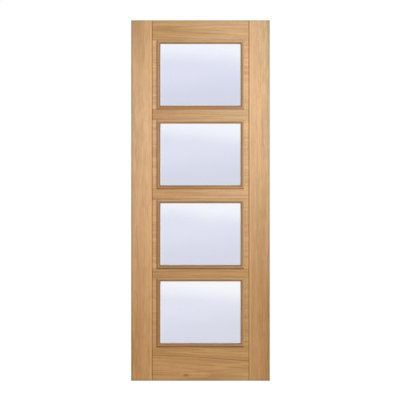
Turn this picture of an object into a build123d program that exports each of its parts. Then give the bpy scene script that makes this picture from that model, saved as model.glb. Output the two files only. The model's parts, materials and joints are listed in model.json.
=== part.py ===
from build123d import *
import os

# Interior door leaf with four glazed lights in a column.
# Frame: X from the hinge edge across the leaf, Y from front to back with 0 at mid thickness,
# Z up from the foot of the leaf. The front faces -Y.

# Leaf, in millimetres
LEAF_WIDTH = 762.0
LEAF_HEIGHT = 1981.0
LEAF_THICKNESS = 35.0
ARRIS_RADIUS = 1.0

# Stiles with a solid lipping on the outer edge; a stile ends at the middle of its groove
STILE_WIDTH = 114.5
LIPPING_WIDTH = 8.0

# V-groove between a stile and the centre section, half of it cut from the piece on each side
GROOVE_HALF_WIDTH = 3.0
GROOVE_DEPTH = 4.0

# Rails from the top down
TOP_RAIL_HEIGHT = 111.0
UPPER_RAIL_HEIGHT = 62.0
MIDDLE_RAIL_HEIGHT = 62.0
LOWER_RAIL_HEIGHT = 54.0
BOTTOM_RAIL_HEIGHT = 188.0

# Strips between a groove and the beads of a light, which leave the light its width
SIDE_STRIP_WIDTH = 28.0

# Glass, at mid thickness of the leaf
GLASS_THICKNESS = 4.0
GLASS_EDGE_CLEARANCE = 3.0

# Glazing beads, mitred, fitted against the glass on both faces
BEAD_WIDTH = 17.0
BEAD_PROUD = 6.0
BEAD_SIGHT_EDGE = 14.0
BEAD_TOP_FLAT = 2.5
BEAD_BULGE = 1.8
BEAD_OUTER_RADIUS = 2.5

# Worked out from the sizes above
HALF_LEAF = LEAF_THICKNESS / 2
HALF_GLASS = GLASS_THICKNESS / 2
LIGHT_LEFT = STILE_WIDTH + SIDE_STRIP_WIDTH
LIGHT_RIGHT = LEAF_WIDTH - LIGHT_LEFT
BEAD_DEPTH = HALF_LEAF - HALF_GLASS + BEAD_PROUD

# Each rail with the light under it, from the top down
RAILS_AND_LIGHTS = (
    ("top_rail", TOP_RAIL_HEIGHT, "top_light"),
    ("upper_rail", UPPER_RAIL_HEIGHT, "upper_light"),
    ("middle_rail", MIDDLE_RAIL_HEIGHT, "lower_light"),
    ("lower_rail", LOWER_RAIL_HEIGHT, "bottom_light"),
)

# The lights share evenly the height that the rails leave
RAILS_TOGETHER = sum(height for _, height, _ in RAILS_AND_LIGHTS) + BOTTOM_RAIL_HEIGHT
LIGHT_HEIGHT = (LEAF_HEIGHT - RAILS_TOGETHER) / len(RAILS_AND_LIGHTS)


def leaf_envelope():
    """The whole leaf as one block, its upright arrises eased and its head and foot cut square."""
    block = Box(LEAF_WIDTH, LEAF_THICKNESS, LEAF_HEIGHT)
    eased = fillet(block.edges().filter_by(Axis.Z), ARRIS_RADIUS)
    return Pos(LEAF_WIDTH / 2, 0, LEAF_HEIGHT / 2) * eased


def board(left, right, bottom, top, groove_left=False, groove_right=False):
    """A board as thick as the leaf, with half a V-groove along the sides that meet one."""
    face_left = left + GROOVE_HALF_WIDTH if groove_left else left
    face_right = right - GROOVE_HALF_WIDTH if groove_right else right
    groove_floor = HALF_LEAF - GROOVE_DEPTH
    outline = [(face_left, -HALF_LEAF), (face_right, -HALF_LEAF)]
    if groove_right:
        outline += [(right, -groove_floor), (right, groove_floor)]
    outline += [(face_right, HALF_LEAF), (face_left, HALF_LEAF)]
    if groove_left:
        outline += [(left, groove_floor), (left, -groove_floor)]
    plan = make_face(Polyline(*outline, close=True))
    return (Pos(0, 0, bottom) * extrude(plan, top - bottom)) & leaf_envelope()


def stiles():
    """The two upright stiles and the lippings on their outer edges, by node name."""
    lock_side = LEAF_WIDTH - STILE_WIDTH
    lock_lipping = LEAF_WIDTH - LIPPING_WIDTH
    return {
        "hinge_edge_lipping": board(0, LIPPING_WIDTH, 0, LEAF_HEIGHT),
        "hinge_stile": board(LIPPING_WIDTH, STILE_WIDTH, 0, LEAF_HEIGHT, groove_right=True),
        "lock_stile": board(lock_side, lock_lipping, 0, LEAF_HEIGHT, groove_left=True),
        "lock_edge_lipping": board(lock_lipping, LEAF_WIDTH, 0, LEAF_HEIGHT),
    }


def rail(bottom, top):
    """A rail from groove to groove."""
    return board(STILE_WIDTH, LEAF_WIDTH - STILE_WIDTH, bottom, top, True, True)


def side_strips(light, bottom, top):
    """The strips between a light's beads and the grooves, by node name."""
    hinge_strip = board(STILE_WIDTH, LIGHT_LEFT, bottom, top, groove_left=True)
    lock_strip = board(LIGHT_RIGHT, LEAF_WIDTH - STILE_WIDTH, bottom, top, groove_right=True)
    return {f"{light}_hinge_side_strip": hinge_strip, f"{light}_lock_side_strip": lock_strip}


def glass(bottom, top):
    """A pane, smaller than its opening by the edge clearance all round."""
    width = LIGHT_RIGHT - LIGHT_LEFT - 2 * GLASS_EDGE_CLEARANCE
    height = top - bottom - 2 * GLASS_EDGE_CLEARANCE
    return Pos(LEAF_WIDTH / 2, 0, (bottom + top) / 2) * Box(width, GLASS_THICKNESS, height)


def bead(sight_length):
    """A mitred bead along X: sight line at Z = 0, back on the glass at Y = 0, front towards -Y."""
    section_plane = Plane((0, 0, 0), x_dir=(0, 0, 1), z_dir=(1, 0, 0))
    flat_end = BEAD_WIDTH - BEAD_OUTER_RADIUS
    flat_start = flat_end - BEAD_TOP_FLAT
    outer_side = BEAD_DEPTH - BEAD_OUTER_RADIUS
    splay = SagittaArc((0, BEAD_SIGHT_EDGE), (flat_start, BEAD_DEPTH), BEAD_BULGE)
    outer_round = CenterArc((flat_end, outer_side), BEAD_OUTER_RADIUS, 0, 90)
    section = make_face(
        Polyline((BEAD_WIDTH, outer_side), (BEAD_WIDTH, 0), (0, 0), (0, BEAD_SIGHT_EDGE))
        + splay
        + Line((flat_start, BEAD_DEPTH), (flat_end, BEAD_DEPTH))
        + outer_round
    )
    long_half = sight_length / 2 + BEAD_WIDTH
    bar = extrude(section_plane * section, long_half, both=True)
    mitred_face = Polyline(
        (-sight_length / 2, 0),
        (sight_length / 2, 0),
        (long_half, BEAD_WIDTH),
        (-long_half, BEAD_WIDTH),
        close=True,
    )
    return bar & extrude(Plane.XZ * make_face(mitred_face), BEAD_DEPTH, both=True)


def bead_pair(length, apart, turn, middle, back):
    """Two facing beads of a light, `apart` from sight line to sight line, turned about Y."""
    glass_face = HALF_GLASS if back else -HALF_GLASS
    facing = Rot(0, 0, 180 if back else 0) * bead(length)
    shifted = Pos(0, glass_face, apart / 2) * facing
    centre = Pos(LEAF_WIDTH / 2, 0, middle)
    return (centre * Rot(0, turn, 0) * shifted) + (centre * Rot(0, turn + 180, 0) * shifted)


def glazing(light, bottom, top):
    """A pane and the beads on both its faces, by node name."""
    width = LIGHT_RIGHT - LIGHT_LEFT - 2 * BEAD_WIDTH
    height = top - bottom - 2 * BEAD_WIDTH
    middle = (bottom + top) / 2
    nodes = {f"{light}_glass": glass(bottom, top)}
    for face, back in (("front", False), ("back", True)):
        nodes[f"{light}_{face}_level_beads"] = bead_pair(width, height, 0, middle, back)
        nodes[f"{light}_{face}_upright_beads"] = bead_pair(height, width, 90, middle, back)
    return nodes


def door():
    """Every piece of the leaf, by node name."""
    nodes = stiles()
    top = LEAF_HEIGHT
    for rail_name, rail_height, light in RAILS_AND_LIGHTS:
        light_top = top - rail_height
        light_bottom = light_top - LIGHT_HEIGHT
        nodes[rail_name] = rail(light_top, top)
        nodes.update(side_strips(light, light_bottom, light_top))
        nodes.update(glazing(light, light_bottom, light_top))
        top = light_bottom
    nodes["bottom_rail"] = rail(0, BOTTOM_RAIL_HEIGHT)
    return nodes


os.makedirs("parts", exist_ok=True)
for node, shape in door().items():
    export_step(shape, f"parts/{node}.step")
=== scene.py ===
import json
import logging
import math
from dataclasses import dataclass, replace
from enum import Enum
from typing import Any

import bpy
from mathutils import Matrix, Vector

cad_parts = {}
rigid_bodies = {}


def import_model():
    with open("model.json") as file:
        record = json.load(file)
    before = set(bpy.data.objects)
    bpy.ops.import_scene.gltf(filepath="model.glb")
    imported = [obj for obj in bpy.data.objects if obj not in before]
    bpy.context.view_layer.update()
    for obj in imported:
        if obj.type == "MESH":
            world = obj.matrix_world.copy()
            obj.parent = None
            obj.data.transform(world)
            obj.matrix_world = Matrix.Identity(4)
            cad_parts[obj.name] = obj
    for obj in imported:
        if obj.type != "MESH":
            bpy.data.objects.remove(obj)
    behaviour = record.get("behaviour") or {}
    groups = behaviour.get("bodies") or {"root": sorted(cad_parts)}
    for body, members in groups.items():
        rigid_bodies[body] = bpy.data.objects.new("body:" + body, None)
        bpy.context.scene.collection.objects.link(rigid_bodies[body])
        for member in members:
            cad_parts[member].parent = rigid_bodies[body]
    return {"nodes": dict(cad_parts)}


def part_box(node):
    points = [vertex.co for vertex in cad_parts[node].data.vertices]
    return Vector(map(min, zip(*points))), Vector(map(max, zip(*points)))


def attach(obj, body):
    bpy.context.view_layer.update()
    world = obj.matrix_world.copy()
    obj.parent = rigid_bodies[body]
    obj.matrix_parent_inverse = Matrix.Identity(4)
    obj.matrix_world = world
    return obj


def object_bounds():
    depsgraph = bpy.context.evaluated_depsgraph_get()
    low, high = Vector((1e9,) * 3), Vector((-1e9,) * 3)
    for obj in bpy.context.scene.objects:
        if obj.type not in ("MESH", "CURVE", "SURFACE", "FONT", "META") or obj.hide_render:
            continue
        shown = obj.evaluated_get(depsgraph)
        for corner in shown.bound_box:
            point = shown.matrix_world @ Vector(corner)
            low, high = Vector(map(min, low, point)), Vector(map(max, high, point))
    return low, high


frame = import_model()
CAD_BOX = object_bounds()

# Oak door leaf with four glazed lights, in metres: X from the hinge edge across the leaf,
# Y from front to back with 0 at mid thickness, Z up from the foot. The front faces -Y.

BODY = "root"
LOG = logging.getLogger("glazed_door")

Node = bpy.types.Node
Socket = bpy.types.NodeSocket
Material = bpy.types.Material
Pair = tuple[float, float]
Span = Pair
Triple = tuple[float, float, float]
Colour = Triple
Drift = tuple[tuple[float, Colour], ...]

WHITE: Colour = (1.0, 1.0, 1.0)
LEAF_MIDDLE = (CAD_BOX[0].x + CAD_BOX[1].x) / 2
LEAF_FOOT = CAD_BOX[0].z
LEAF_HEAD = CAD_BOX[1].z


class Grain(Enum):
    """Which way the grain of a piece runs."""

    UPRIGHT = "upright"
    LEVEL = "level"

    @property
    def along(self) -> str:
        """The axis that the grain follows."""
        return "Z" if self is Grain.UPRIGHT else "X"

    @property
    def across(self) -> str:
        """The axis across the grain, on the face of the leaf."""
        return "X" if self is Grain.UPRIGHT else "Z"


class Side(Enum):
    """The four beads round a light, as quarter turns about Y from the top one."""

    TOP = 0
    LOCK = 1
    BOTTOM = 2
    HINGE = 3

    @property
    def turn(self) -> float:
        """The angle about Y that takes the top bead to this side."""
        return self.value * math.pi / 2

    @property
    def is_level(self) -> bool:
        """Whether the bead on this side lies level."""
        return self in (Side.TOP, Side.BOTTOM)


@dataclass(frozen=True)
class Layer:
    """A layer of noise in a finish.

    It has its waves to the metre on each axis, its finer detail and how rough that is, the span of
    its values that shows, from none to full, and its share in the finish.
    """

    waves: Triple
    detail: float
    roughness: float = 0.5
    span: Span = (0.3, 0.7)
    share: float = 1.0


class NodeSheet:
    """A node tree with short calls that add nodes and join them up."""

    def __init__(self, tree: bpy.types.NodeTree) -> None:
        """Keeps the tree that the nodes go into."""
        self.tree = tree

    def fill(self, node: Node, inputs: dict[Any, Any]) -> None:
        """Gives a node's inputs their values.

        Args:
            node: The node.
            inputs: Plain values, or output sockets to link from, by the input's name or number.
        """
        for key, value in inputs.items():
            socket = node.inputs[key]
            if isinstance(value, Socket):
                self.tree.links.new(value, socket)
            elif socket.type == "RGBA":
                socket.default_value = (*value, 1.0)
            else:
                socket.default_value = value

    def add(self, kind: str, inputs: dict[Any, Any], **settings: Any) -> Node:
        """Adds a node.

        Args:
            kind: Blender's name for the kind of node.
            inputs: What its inputs are given.
            settings: Properties of the node itself.

        Returns:
            The new node.
        """
        node = self.tree.nodes.new(kind)
        for key, value in settings.items():
            setattr(node, key, value)
        self.fill(node, inputs)
        return node

    def number(self, operation: str, *values: Any) -> Socket:
        """Adds a sum on numbers, such as MULTIPLY, and gives its result."""
        return self.add("ShaderNodeMath", dict(enumerate(values)), operation=operation).outputs[0]

    def vector(self, operation: str, *values: Any) -> Socket:
        """Adds a sum on vectors, such as ADD or LENGTH, and gives its result."""
        node = self.add("ShaderNodeVectorMath", dict(enumerate(values)), operation=operation)
        return node.outputs["Value" if operation in ("LENGTH", "DOT_PRODUCT") else "Vector"]

    def combine(self, x: Any, y: Any, z: Any) -> Socket:
        """Joins three numbers into a vector."""
        return self.add("ShaderNodeCombineXYZ", {"X": x, "Y": y, "Z": z}).outputs[0]

    def part(self, vector: Any, axis: str) -> Socket:
        """Takes the number on one axis out of a vector."""
        return self.add("ShaderNodeSeparateXYZ", {"Vector": vector}).outputs[axis]

    def weighted(self, start: Any, *terms: tuple[Any, Any]) -> Socket:
        """Adds weighted numbers to a start.

        Args:
            start: The number to start from.
            terms: Each number with its weight.

        Returns:
            The total.
        """
        total = start
        for value, weight in terms:
            total = self.number("MULTIPLY_ADD", value, weight, total)
        return total

    def ease(self, value: Any, span: Span, levels: Pair = (0.0, 1.0)) -> Socket:
        """Goes smoothly from one level to the other as a value crosses a span."""
        inputs = dict(enumerate((value, *span, *levels)))
        return self.add("ShaderNodeMapRange", inputs, interpolation_type="SMOOTHSTEP").outputs[0]

    def fade(self, value: Any, span: Span, share: float = 1.0) -> Socket:
        """Goes smoothly from a share to nothing as a value crosses a span."""
        return self.ease(value, span, (share, 0.0))

    def noise(self, vector: Any, layer: Layer, output: int | str = 0) -> Socket:
        """Adds a layer of noise.

        Args:
            vector: The coordinates, in metres.
            layer: The layer.
            output: Which of the noise's outputs is wanted.

        Returns:
            The noise as it comes, which keeps near one half.
        """
        scaled = self.vector("MULTIPLY", vector, layer.waves)
        inputs = {"Vector": scaled, "Scale": 1.0, "Detail": layer.detail, "Roughness": layer.roughness}
        return self.add("ShaderNodeTexNoise", inputs).outputs[output]

    def mark(self, vector: Any, layer: Layer) -> Socket:
        """Adds a layer of noise, from 0 to 1 over the span that shows."""
        return self.ease(self.noise(vector, layer), layer.span)

    def blend(self, share: Any, first: Any, second: Any, mode: str = "MIX") -> Socket:
        """Mixes a share, kept between 0 and 1, of the second colour into the first."""
        inputs = {0: share, 6: first, 7: second}
        return self.add("ShaderNodeMix", inputs, data_type="RGBA", blend_type=mode).outputs[2]

    def ramp(self, value: Any, stops: Drift) -> Socket:
        """Adds a run of colours.

        Args:
            value: Where on the run to read.
            stops: Each place on the run with its colour.

        Returns:
            The colour there.
        """
        node = self.add("ShaderNodeValToRGB", {"Fac": value})
        elements = node.color_ramp.elements
        while len(elements) < len(stops):
            elements.new(0.5)
        for element, (place, colour) in zip(elements, stops):
            element.position = place
            element.color = (*colour, 1.0)
        return node.outputs[0]


class MaterialSheet(NodeSheet):
    """The nodes of a new material, from the coordinates of its piece to its shader."""

    def __init__(self, name: str) -> None:
        """Starts the material.

        Args:
            name: The material's name.
        """
        self.material = bpy.data.materials.new(name)
        self.material.use_nodes = True
        super().__init__(self.material.node_tree)
        self.shader = self.tree.nodes["Principled BSDF"]
        self.place = self.add("ShaderNodeTexCoord", {}).outputs["Object"]

    def surface(self, inputs: dict[Any, Any], height: Socket, relief: Pair) -> Material:
        """Joins up the shader.

        Args:
            inputs: What the shader's inputs are given.
            height: How high each point of the surface stands.
            relief: How strongly the height shows, and how far out a height of 1 stands.

        Returns:
            The finished material.
        """
        strength, distance = relief
        bump = {"Strength": strength, "Distance": distance, "Height": height}
        self.fill(self.shader, inputs | {"Normal": self.add("ShaderNodeBump", bump).outputs[0]})
        return self.material


def dress(node_name: str, material: Material) -> None:
    """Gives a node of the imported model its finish.

    Args:
        node_name: The node's name.
        material: The finish.
    """
    piece = frame["nodes"][node_name]
    if not piece.material_slots:
        piece.data.materials.append(material)
    for slot in piece.material_slots:
        slot.material = material
    LOG.info("dressed %s in %s", node_name, material.name)


@dataclass(frozen=True)
class BeadPair:
    """Painted light and shade on two facing beads, at the foot and overall, left or lower bead first."""

    painted_feet: tuple[Colour, Colour]
    painted_sides: tuple[Colour, Colour]
    light_middle: Vector | None = None


@dataclass(frozen=True)
class OakFinish:
    """Satin-lacquered oak with rings round a heart line, fibre streaks and open pores.

    The heart is where the middle of the log lies: across the grain (X on an upright piece, Z on a
    level one) and in depth (Y). A piece far from its heart shows straight grain, a near one arches.
    """

    name: str
    grain: Grain
    heart: Pair = (0.0, 0.0)
    pale: Colour = (0.513, 0.282, 0.120)
    deep: Colour = (0.387, 0.206, 0.080)
    rosy: Colour = (0.450, 0.229, 0.111)
    pore: Colour = (0.190, 0.090, 0.030)

    # Where along the log the piece is cut, how its grain leans and how far it wanders
    run: float = 0.0
    slope: float = 0.0
    dive: float = 0.0
    wander: float = 0.020

    # The distance between rings, their share in the colour, and the part of them that is faint
    ring_gap: float = 0.0042
    ring_share: float = 0.22
    faint_rings: float = 0.30

    # Fibre streaks, and how far the bare board goes between pale and deep
    streak: Layer = Layer((150.0, 150.0, 12.0), 3.0, 0.6, share=0.43)
    contrast: float = 2.30

    # Where a second leaf of veneer starts across the grain, and how much deeper its tone is
    leaf_join: float | None = None
    leaf_shift: float = 0.0

    # Painted light and shade from end to end of the leaf, along the grain unless another way is given
    painted_light_run: Drift = ()
    painted_light_run_way: Grain | None = None

    # How much paler the edge beside a V-groove is, and whether the piece gets painted shade along the
    # leaf's head and foot
    groove_edge: float = 0.0
    shaded_ends: bool = False
    knot: Vector | None = None
    beads: BeadPair | None = None

    def toned(self, shift: Colour) -> "OakFinish":
        """Shifts all the colours of the oak together.

        Args:
            shift: What red, green and blue of each colour are multiplied by.

        Returns:
            The oak with its new colours.
        """
        names = ("pale", "deep", "rosy", "pore")
        colours = {name: tuple(k * c for k, c in zip(shift, getattr(self, name))) for name in names}
        return replace(self, **colours)

    def material(self) -> Material:
        """Builds the finish."""
        return OakSheet(self).build()


class OakSheet(MaterialSheet):
    """The nodes of one oak finish: its marks, and the colours laid over each other."""

    # Layers of the grain, with their waves across it, in depth and along it
    SWAY = Layer((3.0, 3.0, 1.1), 1.5)
    WAVER = Layer((36.0, 36.0, 5.0), 1.5)
    BAND = Layer((62.0, 62.0, 2.2), 2.0, share=0.32)
    CLOUD = Layer((9.0, 9.0, 1.7), 2.0, share=0.25)
    HUE = Layer((34.0, 34.0, 0.9), 1.5, span=(0.45, 0.68), share=0.35)
    HAIR = Layer((620.0, 620.0, 9.0), 3.0, 0.65, span=(0.48, 0.72), share=0.20)
    PORE = Layer((1100.0, 1100.0, 60.0), 1.0, span=(0.56, 0.66), share=0.55)
    FLECK = Layer((150.0, 700.0, 60.0), 1.0, span=(0.66, 0.74), share=0.18)

    # How far the fine waver reaches, and what keeps the hue apart from the bands, in metres
    WAVER_REACH = 0.0013
    HUE_SHIFT = (3.1, 1.7, 5.3)

    # The dark of a ring from its start to its end, and what a faint ring keeps of it
    RING_DARK = (
        (0.0, 0.40), (0.06, 1.0), (0.18, 0.70), (0.34, 0.25), (0.66, 0.05), (0.93, 0.08), (1.0, 0.40),
    )
    FAINT_RING = 0.20

    # How open the pores are outside the early wood of a ring, compared with inside it
    LATE_WOOD = 0.40

    # A knot's half sizes, and over how many of them its dark and the bend of the rings fade
    KNOT_REACH = (0.020, 0.012, 0.009)
    KNOT_CORE = (0.2, 1.0)
    KNOT_DARK = 0.75
    KNOT_SWEEP = (0.2, 3.0)
    KNOT_BEND = 0.0036

    # Distances from the middle of a V-groove over which its painted shade and the paler edge beside it
    # fade
    GROOVE_SHADE = (0.0014, 0.0031)
    GROOVE_SHADE_SHARE = 0.45
    PALE_EDGE = (0.0032, 0.0110)
    PALE_FACE = (0.0040, 0.1100)
    PALE_FACE_SHARE = 0.35

    # How much paler the edge beside a V-groove is than the pale colour
    PALE_EDGE_GAIN = 1.25
    PALE_EDGE_LIFT = 0.03

    # Painted shade along the leaf's head and foot edges, darker and cooler, and the heights it fades
    # over
    END_SHADE = (0.74, 0.87, 1.16)
    END_SHADE_FOOT = (LEAF_FOOT + 0.002, LEAF_FOOT + 0.016)
    END_SHADE_HEAD = (LEAF_HEAD - 0.003, LEAF_HEAD - 0.011)
    END_SHADE_HEAD_SHARE = 0.65

    # Distances from mid thickness over which the painted light or shade at a bead's foot and the
    # painted highlight on its crest come in, and a band across the middle of a light that parts its
    # beads
    BEAD_FOOT_PAINT = (0.0215, 0.0160)
    BEAD_CREST_HIGHLIGHT = (0.0226, 0.0235)
    BEAD_CREST_HIGHLIGHT_SHARE = 0.30
    BETWEEN_BEADS = (-0.02, 0.02)

    # How rough the lacquer is, and what each mark adds to that
    ROUGHNESS = 0.42
    PORE_ROUGHNESS = 0.16
    STREAK_ROUGHNESS = 0.14
    FLECK_ROUGHNESS = -0.05

    # How far each mark stands out, and how the heights show as relief
    HAIR_HEIGHT = 0.35
    PORE_HEIGHT = -0.8
    RING_HEIGHT = -0.25
    RELIEF = (0.35, 0.0002)

    def __init__(self, oak: OakFinish) -> None:
        """Starts the material and draws the marks of its grain.

        Args:
            oak: The finish.
        """
        super().__init__(oak.name)
        self.oak = oak
        self.colour: Any = oak.pale
        self.grain = self.about_heart()
        self.warped = self.wandered()
        self.rings = self.growth_rings()
        self.streak = self.noise(self.warped, oak.streak)
        self.hair = self.noise(self.warped, self.HAIR)
        self.flecks = self.mark(self.grain, self.FLECK)
        openness = self.weighted(self.LATE_WOOD, (self.rings, 1.0 - self.LATE_WOOD))
        self.pores = self.number("MULTIPLY", self.mark(self.warped, self.PORE), openness)

    def about_heart(self) -> Socket:
        """Turns the piece's own coordinates so that X is across, Y in depth and Z along the grain.

        Returns:
            The coordinates about the heart line.
        """
        across, depth = self.oak.heart
        level = self.oak.grain is Grain.LEVEL
        turn = -math.pi / 2 if level else 0.0
        shift = (across if level else -across, -depth, self.oak.run)
        inputs = {"Vector": self.place, "Rotation": (0.0, turn, 0.0), "Location": shift}
        turned = self.add("ShaderNodeMapping", inputs).outputs[0]
        along = self.part(turned, "Z")
        lean = (self.oak.slope, self.oak.dive, 0.0)
        return self.vector("MULTIPLY_ADD", self.combine(along, along, along), lean, turned)

    def wandered(self) -> Socket:
        """Lets the grain wander slowly along the piece and waver finely.

        Returns:
            The coordinates about the heart line, with their wander.
        """
        result = self.grain
        for layer, reach in ((self.SWAY, self.oak.wander), (self.WAVER, self.WAVER_REACH)):
            noise = self.noise(self.grain, layer, "Color")
            double, back = (2 * reach, 2 * reach, 0.0), (-reach, -reach, 0.0)
            result = self.vector("ADD", result, self.vector("MULTIPLY_ADD", noise, double, back))
        return result

    def from_knot(self) -> Socket:
        """Measures how far a point lies from the knot, where the knot's own edge counts as 1."""
        offset = self.vector("SUBTRACT", self.place, self.oak.knot)
        return self.vector("LENGTH", self.vector("DIVIDE", offset, self.KNOT_REACH))

    def growth_rings(self) -> Socket:
        """Draws the rings, each with its own strength, bent round a knot.

        Returns:
            How strong the early wood of a ring is, from 0 to 1.
        """
        radius = self.vector("LENGTH", self.vector("MULTIPLY", self.warped, (1.0, 1.0, 0.0)))
        if self.oak.knot is not None:
            bend = self.fade(self.from_knot(), self.KNOT_SWEEP, self.KNOT_BEND)
            radius = self.number("ADD", radius, bend)
        count = self.number("DIVIDE", radius, self.oak.ring_gap)
        greys = tuple((at, (dark, dark, dark)) for at, dark in self.RING_DARK)
        profile = self.ramp(self.number("FRACT", count), greys)
        whole = {"W": self.number("FLOOR", count)}
        own = self.add("ShaderNodeTexWhiteNoise", whole, noise_dimensions="1D").outputs["Value"]
        strength = self.ease(own, (self.oak.faint_rings, 1.0), (self.FAINT_RING, 1.0))
        return self.number("MULTIPLY", profile, strength)

    def lay(self, share: Any, colour: Any, mode: str = "MIX") -> None:
        """Lays a share of a colour over the colour so far."""
        self.colour = self.blend(share, self.colour, colour, mode)

    def lay_board(self) -> None:
        """Lays the bare board, from broad bands, streaks and slow clouds, with a rosy hue in places."""
        oak = self.oak
        band = self.mark(self.warped, self.BAND)
        streak = self.ease(self.streak, oak.streak.span)
        cloud = self.mark(self.grain, self.CLOUD)
        shares = ((band, self.BAND.share), (streak, oak.streak.share), (cloud, self.CLOUD.share))
        tone = self.weighted(0.0, *shares)
        if oak.leaf_join is not None:
            across = self.part(self.place, oak.grain.across)
            second_leaf = self.number("GREATER_THAN", across, oak.leaf_join)
            tone = self.weighted(tone, (second_leaf, oak.leaf_shift))
        self.lay(self.weighted(0.5, (self.number("SUBTRACT", tone, 0.5), oak.contrast)), oak.deep)
        hue = self.mark(self.vector("ADD", self.warped, self.HUE_SHIFT), self.HUE)
        self.lay(self.number("MULTIPLY", hue, self.HUE.share), oak.rosy)

    def lay_painted_light_run(self) -> None:
        """Paints light and shade along the leaf as a run of tones multiplied over the colour."""
        if not self.oak.painted_light_run:
            return
        way = self.oak.painted_light_run_way or self.oak.grain
        reach = self.part(self.vector("DIVIDE", self.place, CAD_BOX[1]), way.along)
        self.lay(1.0, self.ramp(reach, self.oak.painted_light_run), "MULTIPLY")

    def lay_marks(self) -> None:
        """Darkens rings, hair lines, pores and a knot, and lays pale flecks over them."""
        oak = self.oak
        hair = self.ease(self.hair, self.HAIR.span)
        shares = ((self.rings, oak.ring_share), (hair, self.HAIR.share), (self.pores, self.PORE.share))
        self.lay(self.weighted(0.0, *shares), oak.pore)
        if oak.knot is not None:
            self.lay(self.fade(self.from_knot(), self.KNOT_CORE, self.KNOT_DARK), oak.pore)
        self.lay(self.number("MULTIPLY", self.flecks, self.FLECK.share), oak.pale)

    def lay_groove_shade_and_pale_edge(self) -> None:
        """Paints the edge beside a V-groove paler, and paints shade in the groove."""
        oak = self.oak
        groove = LEAF_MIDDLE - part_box("hinge_stile")[1].x
        offset = self.number("SUBTRACT", self.part(self.place, "X"), LEAF_MIDDLE)
        beyond = self.number("SUBTRACT", self.number("ABSOLUTE", offset), groove)
        distance = self.number("ABSOLUTE", beyond)
        if oak.groove_edge:
            edge = self.fade(distance, self.PALE_EDGE, oak.groove_edge)
            face = self.fade(distance, self.PALE_FACE, self.PALE_FACE_SHARE * oak.groove_edge)
            edge_colour = tuple(self.PALE_EDGE_GAIN * c + self.PALE_EDGE_LIFT for c in oak.pale)
            self.lay(self.number("ADD", edge, face), edge_colour)
        # Painted shade in the V-groove, in the dark of the pores
        self.lay(self.fade(distance, self.GROOVE_SHADE, self.GROOVE_SHADE_SHARE), oak.pore)

    def lay_end_shade(self) -> None:
        """Paints shade along the head and foot edges of the leaf."""
        if not self.oak.shaded_ends:
            return
        height = self.part(self.place, "Z")
        foot = self.fade(height, self.END_SHADE_FOOT)
        head = self.fade(height, self.END_SHADE_HEAD, self.END_SHADE_HEAD_SHARE)
        # Painted shade along the head and foot edges of the leaf
        self.lay(self.number("MAXIMUM", foot, head), self.END_SHADE, "MULTIPLY")

    def lay_bead_light_and_shade(self) -> None:
        """Paints a highlight on two facing beads' crest, and light or shade at each foot and overall."""
        beads = self.oak.beads
        if beads is None:
            return
        depth = self.part(self.place, "Y")
        forward = self.number("ABSOLUTE", depth)
        centred = self.vector("SUBTRACT", self.place, beads.light_middle)
        away = self.part(centred, self.oak.grain.across)
        if self.oak.grain is Grain.UPRIGHT:
            frontward = self.number("MULTIPLY", self.number("SIGN", depth), -1.0)
            away = self.number("MULTIPLY", away, frontward)
        second = self.ease(away, self.BETWEEN_BEADS)
        # Painted highlight on the crest of each bead
        self.lay(self.ease(forward, self.BEAD_CREST_HIGHLIGHT, (0.0, self.BEAD_CREST_HIGHLIGHT_SHARE)), OakFinish.pale)
        # Painted shade or light near the glass: darker at the left foot, paler at the right and upper
        # feet
        self.lay(self.ease(forward, self.BEAD_FOOT_PAINT), self.blend(second, *beads.painted_feet), "MULTIPLY")
        # Painted shade on the left and lower beads and painted light on the right and upper ones, as
        # each face is seen
        self.lay(1.0, self.blend(second, *beads.painted_sides), "MULTIPLY")

    def build(self) -> Material:
        """Lays the colours, and lacquers the wood so that its grain shows as fine relief.

        Returns:
            The material.
        """
        self.lay_board()
        self.lay_painted_light_run()
        self.lay_marks()
        self.lay_groove_shade_and_pale_edge()
        self.lay_end_shade()
        self.lay_bead_light_and_shade()
        rough = self.weighted(
            self.ROUGHNESS,
            (self.pores, self.PORE_ROUGHNESS),
            (self.number("SUBTRACT", self.streak, 0.5), self.STREAK_ROUGHNESS),
            (self.flecks, self.FLECK_ROUGHNESS),
        )
        height = self.weighted(
            0.0,
            (self.hair, self.HAIR_HEIGHT),
            (self.pores, self.PORE_HEIGHT),
            (self.rings, self.RING_HEIGHT),
        )
        return self.surface({"Base Color": self.colour, "Roughness": rough}, height, self.RELIEF)


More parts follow.
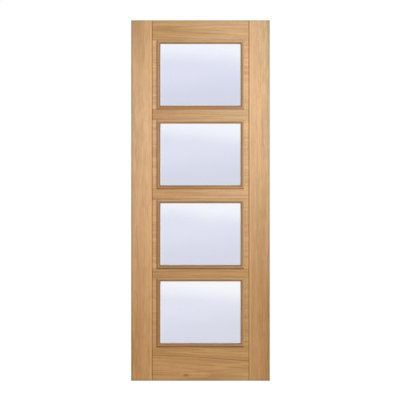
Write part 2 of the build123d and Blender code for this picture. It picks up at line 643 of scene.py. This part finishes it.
@dataclass(frozen=True)
class GlassFinish:
    """Satin glass with a faint cool tint and a painted reflection, paler at the head and left edge.

    Places on a pane run from -1 to 1 across it and up it, and a fade leans with the place across.
    """

    name: str
    head: Colour = (0.891, 0.913, 0.981)
    middle: Colour = (0.739, 0.757, 0.897)
    foot: Colour = (0.658, 0.685, 0.812)
    reflection_head_fade: Span = (0.95, 0.25)
    reflection_head_lean: float = 0.14
    reflection_foot_fade: Span = (0.30, -0.80)
    reflection_foot_lean: float = -0.12
    reflection_edge_fade: Span = (-0.94, -0.99)
    reflection_edge_share: float = 0.5
    ripple: Layer = Layer((3.0, 3.0, 5.0), 2.0, share=0.35)
    grit: Layer = Layer((900.0, 900.0, 900.0), 2.0, span=(0.2, 0.8))
    roughness: Pair = (0.21, 0.29)
    relief: Pair = (0.10, 0.0001)
    ior: float = 1.45
    mirror: float = 0.12

    def material(self, centre: Vector, width: float, height: float) -> Material:
        """Builds the finish for one pane.

        Args:
            centre: The middle of the pane.
            width: The width of glass that shows.
            height: The height of glass that shows.

        Returns:
            The material.
        """
        sheet = MaterialSheet(self.name)
        centred = sheet.vector("SUBTRACT", sheet.place, centre)
        on_pane = sheet.vector("DIVIDE", centred, (width / 2, 1.0, height / 2))
        across = sheet.part(on_pane, "X")
        ripple = sheet.number("SUBTRACT", sheet.noise(sheet.place, self.ripple), 0.5)
        up = sheet.weighted(sheet.part(on_pane, "Z"), (ripple, self.ripple.share))
        below_reflection_head = sheet.ease(sheet.weighted(up, (across, self.reflection_head_lean)), self.reflection_head_fade)
        near_reflection_foot = sheet.ease(sheet.weighted(up, (across, self.reflection_foot_lean)), self.reflection_foot_fade)
        reflected_left_edge = sheet.ease(across, self.reflection_edge_fade, (0.0, self.reflection_edge_share))
        # Painted reflection: pale at the head, darker towards the foot, pale again along the left edge
        colour = sheet.blend(below_reflection_head, self.head, self.middle)
        colour = sheet.blend(near_reflection_foot, colour, self.foot)
        colour = sheet.blend(reflected_left_edge, colour, self.head)
        grit = sheet.noise(sheet.place, self.grit)
        rough = sheet.ease(grit, self.grit.span, self.roughness)
        inputs = {"Base Color": colour, "Roughness": rough, "Transmission Weight": 1.0}
        inputs |= {"IOR": self.ior, "Specular IOR Level": self.mirror}
        return sheet.surface(inputs, grit, self.relief)


@dataclass(frozen=True)
class FillerFinish:
    """Soft filler or seal: one mottled colour, matt."""

    name: str
    colour: Colour
    mottle: Colour
    roughness: Pair
    grain: Layer
    rough_span: Span = (0.2, 0.8)
    relief: Pair = (0.2, 0.0001)

    def material(self) -> Material:
        """Builds the finish.

        Returns:
            The material.
        """
        sheet = MaterialSheet(self.name)
        grain = sheet.noise(sheet.place, self.grain)
        colour = sheet.blend(sheet.ease(grain, self.grain.span), self.colour, self.mottle)
        rough = sheet.ease(grain, self.rough_span, self.roughness)
        return sheet.surface({"Base Color": colour, "Roughness": rough}, grain, self.relief)


class GeometryTree(NodeSheet):
    """A Geometry Nodes tree for a light's small pieces, which are kept as a plain mesh."""

    LIGHT_SIZES = ("Sight Width", "Sight Height", "Glass Face")

    def __init__(self, name: str, sizes: dict[str, float], finish: Material) -> None:
        """Starts a tree with named inputs for the light's sizes and its own.

        Args:
            name: The tree's name.
            sizes: The tree's own sizes.
            finish: What its pieces are made of.
        """
        super().__init__(bpy.data.node_groups.new(name, "GeometryNodeTree"))
        self.own_values = sizes | {"Material": finish}
        self.identifiers: dict[str, str] = {}
        kinds = dict.fromkeys((*self.LIGHT_SIZES, *sizes), "NodeSocketFloat")
        kinds |= {"Middle": "NodeSocketVector", "Material": "NodeSocketMaterial"}
        for label, kind in kinds.items():
            socket = self.tree.interface.new_socket(label, in_out="INPUT", socket_type=kind)
            self.identifiers[label] = socket.identifier
        self.tree.interface.new_socket("Geometry", in_out="OUTPUT", socket_type="NodeSocketGeometry")
        self.given = self.add("NodeGroupInput", {}).outputs

    def moved(self, geometry: Socket, shift: Any = (0, 0, 0), turn: Any = (0, 0, 0)) -> Socket:
        """Turns a geometry about the origin and then shifts it."""
        inputs = {"Geometry": geometry, "Translation": shift, "Rotation": turn}
        return self.add("GeometryNodeTransform", inputs).outputs[0]

    def joined(self, *geometries: Socket) -> Socket:
        """Puts several geometries together.

        Args:
            geometries: The geometries.

        Returns:
            All of them as one.
        """
        node = self.add("GeometryNodeJoinGeometry", {})
        for geometry in geometries:
            self.fill(node, {0: geometry})
        return node.outputs[0]

    def close(self, *geometries: Socket) -> None:
        """Ends the tree: real smooth meshes about the middle of the light, in their finish.

        Args:
            geometries: What the tree has made about the origin.
        """
        placed = self.moved(self.joined(*geometries), shift=self.given["Middle"])
        real = self.add("GeometryNodeRealizeInstances", {"Geometry": placed}).outputs[0]
        smooth = self.add("GeometryNodeSetShadeSmooth", {"Geometry": real}).outputs[0]
        inputs = {"Geometry": smooth, "Material": self.given["Material"]}
        finished = self.add("GeometryNodeSetMaterial", inputs).outputs[0]
        self.add("NodeGroupOutput", {"Geometry": finished})

    def make(self, name: str, light_values: dict[str, Any]) -> bpy.types.Object:
        """Runs the tree and keeps its result.

        Args:
            name: The new piece's name.
            light_values: The light's middle and sizes, by the input's name.

        Returns:
            The piece, a plain mesh at the origin.
        """
        seed = bpy.data.objects.new(f"{name}_seed", bpy.data.meshes.new(f"{name}_seed"))
        bpy.context.scene.collection.objects.link(seed)
        modifier = seed.modifiers.new("tree", "NODES")
        modifier.node_group = self.tree
        for label, value in (self.own_values | light_values).items():
            modifier[self.identifiers[label]] = value
        evaluated = seed.evaluated_get(bpy.context.evaluated_depsgraph_get())
        mesh = bpy.data.meshes.new_from_object(evaluated)
        seed.modifiers.remove(modifier)
        bpy.data.objects.remove(seed)
        mesh.name = name
        piece = bpy.data.objects.new(name, mesh)
        bpy.context.scene.collection.objects.link(piece)
        return piece


@dataclass
class Stiles:
    """The two stiles and the lippings on their outer edges."""

    # Each stile's run of tones from foot to head is painted light and shade: darker low down and at the
    # head, paler and cooler as a painted sheen higher up
    hinge: OakFinish = OakFinish(
        "oak_hinge_stile", Grain.UPRIGHT, (-0.050, 0.075), leaf_join=0.060, leaf_shift=-0.03,
        groove_edge=0.35, shaded_ends=True,
        painted_light_run=(
            (0.10, (0.820, 0.785, 0.670)),
            (0.45, (0.915, 0.940, 1.040)),
            (0.70, (0.965, 1.070, 1.290)),
            (1.00, (0.790, 0.815, 0.850)),
        ),
    ).toned((1.09, 1.14, 1.22))
    lock: OakFinish = OakFinish(
        "oak_lock_stile", Grain.UPRIGHT, (0.840, 0.085), run=2.7, groove_edge=0.5, shaded_ends=True,
        painted_light_run=(
            (0.00, (0.785, 0.765, 0.720)),
            (0.20, (0.740, 0.725, 0.600)),
            (0.75, (0.905, 0.970, 0.930)),
            (1.00, (0.830, 0.960, 1.040)),
        ),
    )
    # The lipping's greyer, darker tone is partly its own and partly painted shade along the leaf's side
    # edges
    lipping: OakFinish = OakFinish(
        "oak_lipping", Grain.UPRIGHT, (0.381, 0.120), run=5.1, wander=0.008, shaded_ends=True
    ).toned((0.78, 0.88, 1.04))

    def dress(self) -> None:
        """Gives the stiles and lippings their oak."""
        for side, stile in (("hinge", self.hinge), ("lock", self.lock)):
            lipping = replace(self.lipping, name=f"oak_{side}_lipping", painted_light_run=stile.painted_light_run)
            dress(f"{side}_stile", stile.material())
            dress(f"{side}_edge_lipping", lipping.material())


@dataclass(frozen=True)
class RailBoard:
    """The board of one rail.

    Its heart lies above the rail's middle by the rise and behind mid thickness by the depth. It has
    a tone of its own, and painted light, paler and cooler, towards its lock end.
    """

    name: str
    rise: float
    depth: float
    slope: float
    dive: float
    ring_share: float
    tone: Colour
    lock_end_light: Colour
    shaded_ends: bool = False
    knot: Vector | None = None


@dataclass(frozen=True)
class StripBoard:
    """The board of the side strips on one side of the lights, with its tone and painted shade at its
    foot.
    """

    side: str
    run: float
    tone: Colour
    foot: Colour


@dataclass
class Rails:
    """The five rails, each cut from its own board, and the side strips beside the lights."""

    boards: tuple[RailBoard, ...] = (
        RailBoard(
            "top_rail", rise=0.012, depth=0.050, slope=-0.012, dive=0.015, ring_share=1.15,
            tone=(0.88, 0.91, 0.78), lock_end_light=(0.99, 1.06, 1.18), shaded_ends=True,
        ),
        RailBoard(
            "upper_rail", rise=-0.050, depth=0.080, slope=-0.008, dive=-0.015, ring_share=0.50,
            tone=(0.81, 0.81, 0.69), lock_end_light=(1.00, 1.09, 1.15),
        ),
        RailBoard(
            "middle_rail", rise=0.055, depth=0.065, slope=0.010, dive=0.012, ring_share=0.90,
            tone=(0.89, 0.90, 0.81), lock_end_light=(1.13, 1.21, 1.30),
        ),
        RailBoard(
            "lower_rail", rise=-0.045, depth=0.085, slope=0.006, dive=0.016, ring_share=0.55,
            tone=(0.81, 0.80, 0.72), lock_end_light=(1.00, 1.04, 0.99),
        ),
        RailBoard(
            "bottom_rail", rise=0.006, depth=0.050, slope=-0.012, dive=-0.020, ring_share=1.20,
            tone=(0.97, 0.98, 0.94), lock_end_light=(1.00, 1.03, 1.01), shaded_ends=True,
            knot=Vector((0.300, -0.0175, 0.031)),
        ),
    )
    rail: OakFinish = OakFinish(
        "oak_rail", Grain.LEVEL, wander=0.010, ring_gap=0.0080, faint_rings=0.55,
        streak=replace(OakFinish.streak, waves=(150.0, 150.0, 5.0)),
    )
    board_run: float = 1.3
    lock_end_light_span: Span = (0.30, 0.80)
    strips: tuple[StripBoard, ...] = (
        StripBoard("hinge", 8.2, (1.04, 1.14, 1.22), (1.02, 0.96, 0.96)),
        StripBoard("lock", 9.6, (1.00, 1.08, 1.03), (0.87, 0.87, 0.88)),
    )
    strip: OakFinish = OakFinish(
        "oak_side_strip", Grain.LEVEL, (0.9, 0.10), wander=0.012, ring_share=0.55, contrast=3.0,
        painted_light_run_way=Grain.UPRIGHT,
    )
    foot_shade_span: Span = (0.35, 0.65)

    def dress_rails(self) -> None:
        """Gives the rails their oak."""
        for number, board in enumerate(self.boards):
            low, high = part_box(board.name)
            oak = replace(
                self.rail, name=f"oak_{board.name}", run=self.board_run * number,
                heart=((low.z + high.z) / 2 + board.rise, board.depth), slope=board.slope,
                dive=board.dive, ring_share=board.ring_share, shaded_ends=board.shaded_ends, knot=board.knot,
                # Painted light towards each rail's lock end, strongest on the upper rails
                painted_light_run=tuple(zip(self.lock_end_light_span, (WHITE, board.lock_end_light))),
            )
            dress(board.name, oak.toned(board.tone).material())

    def dress_strips(self, lights: tuple[str, ...]) -> None:
        """Gives the side strips their oak.

        Args:
            lights: The names of the lights that the strips stand beside.
        """
        for board in self.strips:
            # Painted shade towards the foot of the strips, fading to none higher up
            painted_light_run = tuple(zip(self.foot_shade_span, (board.foot, WHITE)))
            oak = replace(self.strip, name=f"oak_{board.side}_side_strip", run=board.run, painted_light_run=painted_light_run)
            material = oak.toned(board.tone).material()
            for light in lights:
                dress(f"{light}_{board.side}_side_strip", material)


@dataclass
class GlazedLight:
    """One light: its pane and the beads on both faces."""

    name: str
    bead_width: float = 0.017

    @property
    def opening(self) -> tuple[Vector, Vector]:
        """The space that the front beads fill.

        Returns:
            Its lowest and highest corners.
        """
        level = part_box(f"{self.name}_front_level_beads")
        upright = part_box(f"{self.name}_front_upright_beads")
        low = Vector(map(min, level[0], upright[0]))
        high = Vector(map(max, level[1], upright[1]))
        return low, high

    @property
    def middle(self) -> Vector:
        """The middle of the light, at mid thickness."""
        low, high = self.opening
        return Vector(((low.x + high.x) / 2, 0.0, (low.z + high.z) / 2))

    @property
    def sight_size(self) -> tuple[float, float]:
        """The width and height of glass that shows."""
        low, high = self.opening
        return high.x - low.x - 2 * self.bead_width, high.z - low.z - 2 * self.bead_width

    @property
    def tree_values(self) -> dict[str, Any]:
        """What the trees of the small pieces are given.

        Returns:
            The light's middle and sizes, by the input's name.
        """
        width, height = self.sight_size
        values = {"Sight Width": width, "Sight Height": height, "Middle": self.middle}
        return values | {"Glass Face": -self.opening[1].y}

    def dress(self, level_oak: OakFinish, upright_oak: OakFinish) -> None:
        """Gives the pane its glass and the beads their oak.

        Args:
            level_oak: The oak of the level beads.
            upright_oak: The oak of the upright beads.
        """
        glass = GlassFinish(f"{self.name}_satin_glass")
        dress(f"{self.name}_glass", glass.material(self.middle, *self.sight_size))
        for oak in (level_oak, upright_oak):
            beads = replace(oak.beads, light_middle=self.middle)
            own = replace(oak, name=f"{self.name}_{oak.name}", beads=beads).material()
            for face in ("front", "back"):
                dress(f"{self.name}_{face}_{oak.grain.value}_beads", own)


@dataclass
class BeadPins:
    """The filled pin heads along the splay of every bead of a light, alike on both faces.

    A head lies out from the sight line and forward of the glass, and tilts with the splay.
    """

    heads_level: int = 4
    heads_upright: int = 3
    end_distance: float = 0.045
    out: float = 0.00505
    forward: float = 0.01928
    tilt: float = math.radians(58.0)
    radius: float = 0.0009
    flatness: float = 0.45
    segments: int = 12
    rings: int = 6
    filler: FillerFinish = FillerFinish(
        "pin_filler", (0.22, 0.125, 0.065), (0.15, 0.085, 0.045), (0.52, 0.68),
        Layer((1667.0, 1667.0, 1667.0), 3.0),
    )

    def __post_init__(self) -> None:
        """Builds the tree that sets the heads in rows, which all the lights share."""
        sizes = {
            "End Distance": self.end_distance,
            "Out": self.out,
            "Forward": self.forward,
            "Tilt": self.tilt,
            "Radius": self.radius,
            "Flatness": self.flatness,
        }
        self.tree = GeometryTree("bead_pins", sizes, self.filler.material())
        given = self.tree.given
        ball_inputs = {"Segments": self.segments, "Rings": self.rings, "Radius": given["Radius"]}
        ball = self.tree.add("GeometryNodeMeshUVSphere", ball_inputs).outputs[0]
        flat_inputs = {"Geometry": ball, "Scale": self.tree.combine(1.0, 1.0, given["Flatness"])}
        head = self.tree.add("GeometryNodeTransform", flat_inputs).outputs[0]
        front = self.tree.joined(*(self.row(head, side) for side in Side))
        self.tree.close(front, self.tree.moved(front, turn=(0.0, 0.0, math.pi)))

    def row(self, head: Socket, side: Side) -> Socket:
        """Sets the heads of one front bead, about the middle of the light.

        Args:
            head: One head.
            side: Where the bead is.

        Returns:
            The row of heads.
        """
        tree, given = self.tree, self.tree.given
        length = given["Sight Width" if side.is_level else "Sight Height"]
        apart = given["Sight Height" if side.is_level else "Sight Width"]
        reach = tree.number("SUBTRACT", tree.number("DIVIDE", length, 2.0), given["End Distance"])
        start = tree.combine(tree.number("MULTIPLY", reach, -1.0), 0.0, 0.0)
        ends = {"Start": start, "End": tree.combine(reach, 0.0, 0.0)}
        line = tree.add("GeometryNodeCurvePrimitiveLine", ends).outputs[0]
        spacing = {"Curve": line, "Count": self.heads_level if side.is_level else self.heads_upright}
        points = tree.add("GeometryNodeResampleCurve", spacing, mode="COUNT").outputs[0]
        tilt = tree.combine(tree.number("MULTIPLY", given["Tilt"], -1.0), 0.0, 0.0)
        inputs = {"Points": points, "Instance": head, "Rotation": tilt}
        heads = tree.add("GeometryNodeInstanceOnPoints", inputs).outputs[0]
        out = tree.number("ADD", tree.number("DIVIDE", apart, 2.0), given["Out"])
        forward = tree.number("ADD", given["Glass Face"], given["Forward"])
        shift = tree.combine(0.0, tree.number("MULTIPLY", forward, -1.0), out)
        return tree.moved(tree.moved(heads, shift=shift), turn=(0.0, side.turn, 0.0))

    def build(self, light: GlazedLight) -> None:
        """Sets the heads in the beads of one light.

        Args:
            light: The light.
        """
        piece = self.tree.make(f"{light.name}_bead_pins", light.tree_values)
        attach(piece, BODY)
        LOG.info("built %s", piece.name)


@dataclass
class GlazingSeals:
    """The round seals along the sight line, between glass and beads on both faces of a pane."""

    radius: float = 0.0015
    corner: float = 0.0030
    corner_points: int = 5
    round_points: int = 10
    filler: FillerFinish = FillerFinish(
        "glazing_seal", (0.58, 0.45, 0.31), (0.50, 0.38, 0.25), (0.37, 0.53),
        Layer((250.0, 250.0, 250.0), 3.0),
    )

    def __post_init__(self) -> None:
        """Builds the tree that sweeps a seal round the sight line, which all the lights share."""
        sizes = {"Corner": self.corner, "Radius": self.radius}
        self.tree = GeometryTree("glazing_seal", sizes, self.filler.material())
        tree, given = self.tree, self.tree.given
        size = {"Width": given["Sight Width"], "Height": given["Sight Height"]}
        sight = tree.add("GeometryNodeCurvePrimitiveQuadrilateral", size, mode="RECTANGLE").outputs[0]
        corners = {"Curve": sight, "Count": self.corner_points, "Radius": given["Corner"]}
        path = tree.add("GeometryNodeFilletCurve", corners, mode="POLY").outputs[0]
        circle = {"Resolution": self.round_points, "Radius": given["Radius"]}
        section = tree.add("GeometryNodeCurvePrimitiveCircle", circle, mode="RADIUS").outputs[0]
        swept = tree.add("GeometryNodeCurveToMesh", {"Curve": path, "Profile Curve": section}).outputs[0]
        standing = tree.moved(swept, turn=(math.pi / 2, 0.0, 0.0))
        forward = tree.number("MULTIPLY", given["Glass Face"], -1.0)
        front = tree.moved(standing, shift=tree.combine(0.0, forward, 0.0))
        back = tree.moved(standing, shift=tree.combine(0.0, given["Glass Face"], 0.0))
        tree.close(front, back)

    def build(self, light: GlazedLight) -> None:
        """Runs the seals of one light.

        Args:
            light: The light.
        """
        piece = self.tree.make(f"{light.name}_glazing_seals", light.tree_values)
        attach(piece, BODY)
        LOG.info("built %s", piece.name)


@dataclass
class Glazing:
    """The four lights, with the oak of their beads."""

    names: tuple[str, ...] = ("top_light", "upper_light", "lower_light", "bottom_light")
    level_oak: OakFinish = OakFinish(
        "oak_bead_level", Grain.LEVEL, (0.2, 0.35), run=3.3, wander=0.006, ring_share=0.15,
        pale=(0.365, 0.193, 0.071), deep=(0.285, 0.147, 0.050), rosy=(0.285, 0.147, 0.050),
        # Painted light and shade: the lower bead darker and the upper one paler, at the foot and overall
        beads=BeadPair(
            painted_feet=((0.95, 1.02, 1.10), (1.35, 1.35, 1.30)),
            painted_sides=((0.72, 0.70, 0.59), (1.02, 1.12, 1.28)),
        ),
    )
    upright_oak: OakFinish = replace(
        level_oak, name="oak_bead_upright", grain=Grain.UPRIGHT, heart=(0.1, 0.35), run=4.4,
        # Painted light and shade: the left bead darker and the right one paler, at the foot and overall
        beads=BeadPair(
            painted_feet=((0.80, 0.85, 0.95), (2.10, 2.35, 2.60)),
            painted_sides=((0.76, 0.73, 0.65), (0.94, 1.02, 1.15)),
        ),
    )

    def build(self) -> None:
        """Dresses every light and builds its pins and seals."""
        pins = BeadPins()
        seals = GlazingSeals()
        for name in self.names:
            light = GlazedLight(name)
            light.dress(self.level_oak, self.upright_oak)
            pins.build(light)
            seals.build(light)


@dataclass
class Studio:
    """Floor, light and camera round the leaf."""

    floor_reach: float = 60.0
    floor_drop: float = 0.0005
    floor_shade: Colour = (0.80, 0.80, 0.80)
    floor_roughness: float = 0.9
    floor_glow: float = 0.90
    seen_white: float = 1.02
    ambient: float = 0.38
    bounce: float = 0.34
    bounce_from: Triple = (-0.55, 0.0, -0.83)
    bounce_colour: Colour = (1.0, 0.89, 0.66)
    key_strength: float = 2.6
    key_angle: float = math.radians(7.0)
    key_shift: Triple = (3.10, -2.50, 3.10)
    box_power: float = 39.5
    box_place: Triple = (1.05, -2.20, 1.58)
    box_aim: Triple = (0.55, 0.0, 1.40)
    box_size: float = 1.3
    camera_place: Triple = (0.3784, -12.2255, 0.9934)
    lens: float = 200.0
    sensor: float = 36.0
    view_reach: float = 200.0

    def build(self) -> None:
        """Builds the whole studio."""
        self.build_floor()
        self.build_world()
        self.build_lights()
        self.build_camera()
        settings = bpy.context.scene.view_settings
        settings.view_transform = "Standard"
        settings.look = "None"

    def build_floor(self) -> None:
        """Lays a plain pale floor."""
        reach = self.floor_reach
        outline = ((-reach, -reach), (reach, -reach), (reach, reach), (-reach, reach))
        mesh = bpy.data.meshes.new("floor")
        mesh.from_pydata([(x, y, -self.floor_drop) for x, y in outline], [], [(0, 1, 2, 3)])
        floor = bpy.data.objects.new("floor", mesh)
        bpy.context.scene.collection.objects.link(floor)
        sheet = MaterialSheet("pale_floor")
        inputs = {"Base Color": self.floor_shade, "Roughness": self.floor_roughness}
        inputs |= {"Emission Color": WHITE, "Emission Strength": self.floor_glow}
        sheet.fill(sheet.shader, inputs | {"Specular IOR Level": 0.0})
        mesh.materials.append(sheet.material)
        floor.visible_diffuse = False
        floor.visible_glossy = False
        LOG.info("built floor")

    def build_world(self) -> None:
        """Sets a white surround that lights the leaf more gently than it shows."""
        world = bpy.data.worlds.new("studio")
        world.use_nodes = True
        bpy.context.scene.world = world
        sheet = NodeSheet(world.node_tree)
        path = sheet.add("ShaderNodeLightPath", {}).outputs
        seen = sheet.number("MAXIMUM", path["Is Camera Ray"], path["Is Transmission Ray"])
        direction = sheet.add("ShaderNodeTexCoord", {}).outputs["Generated"]
        towards = sheet.vector("DOT_PRODUCT", direction, self.bounce_from)
        gentle = sheet.weighted(self.ambient, (towards, self.bounce))
        bright = sheet.number("MULTIPLY", seen, self.seen_white)
        colour = sheet.blend(seen, self.bounce_colour, WHITE)
        strength = sheet.number("MAXIMUM", gentle, bright)
        sheet.fill(world.node_tree.nodes["Background"], {"Color": colour, "Strength": strength})
        LOG.info("built surround")

    def add_light(self, name: str, kind: str, place: Vector, aim: Vector) -> bpy.types.Object:
        """Adds a light that the camera doesn't see.

        Args:
            name: The light's name.
            kind: Blender's name for the kind of light.
            place: Where it hangs.
            aim: The point that it faces.

        Returns:
            The light.
        """
        light = bpy.data.objects.new(name, bpy.data.lights.new(name, kind))
        light.location = place
        light.rotation_euler = (aim - place).to_track_quat("-Z", "Y").to_euler()
        light.visible_camera = False
        light.visible_transmission = False
        bpy.context.scene.collection.objects.link(light)
        LOG.info("built %s", name)
        return light

    def build_lights(self) -> None:
        """Hangs a slanting light and a soft box in front of the leaf, and the same behind it.

        The slanting lights fall on the leaf alone and the soft boxes on its oak alone, so the floor
        keeps a soft shadow and the glass mirrors no lamp.
        """
        leaf = bpy.data.collections.new("leaf_pieces")
        oak = bpy.data.collections.new("oak_pieces")
        for piece in bpy.context.scene.objects:
            if piece.type == "MESH" and piece.name != "floor":
                leaf.objects.link(piece)
        for name, piece in frame["nodes"].items():
            if not name.endswith("_glass"):
                oak.objects.link(piece)
        centre = Vector((LEAF_MIDDLE, 0.0, 0.0))
        for face, turn in (("front", 1.0), ("back", -1.0)):
            half_turn = Vector((turn, turn, 1.0))
            aim = centre + half_turn * (Vector(self.box_aim) - centre)
            place = centre + half_turn * (Vector(self.box_place) - centre)
            key = self.add_light(f"{face}_key", "SUN", aim + half_turn * Vector(self.key_shift), aim)
            key.data.energy = self.key_strength
            key.data.angle = self.key_angle
            key.light_linking.receiver_collection = leaf
            softbox = self.add_light(f"{face}_softbox", "AREA", place, aim)
            softbox.data.energy = self.box_power
            softbox.data.shape = "SQUARE"
            softbox.data.size = self.box_size
            softbox.light_linking.receiver_collection = oak

    def build_camera(self) -> None:
        """Sets the camera square on to the front, from far off."""
        camera = bpy.data.objects.new("camera", bpy.data.cameras.new("camera"))
        camera.data.lens = self.lens
        camera.data.sensor_width = self.sensor
        camera.data.clip_end = self.view_reach
        camera.location = self.camera_place
        camera.rotation_euler = (math.pi / 2, 0.0, 0.0)
        bpy.context.scene.collection.objects.link(camera)
        bpy.context.scene.camera = camera
        LOG.info("built camera")


def main() -> None:
    """Dresses the leaf and builds its small pieces, then the studio."""
    logging.basicConfig(level=logging.INFO, format="%(message)s")
    glazing = Glazing()
    rails = Rails()
    Stiles().dress()
    rails.dress_rails()
    rails.dress_strips(glazing.names)
    glazing.build()
    Studio().build()


if __name__ == "__main__":
    main()
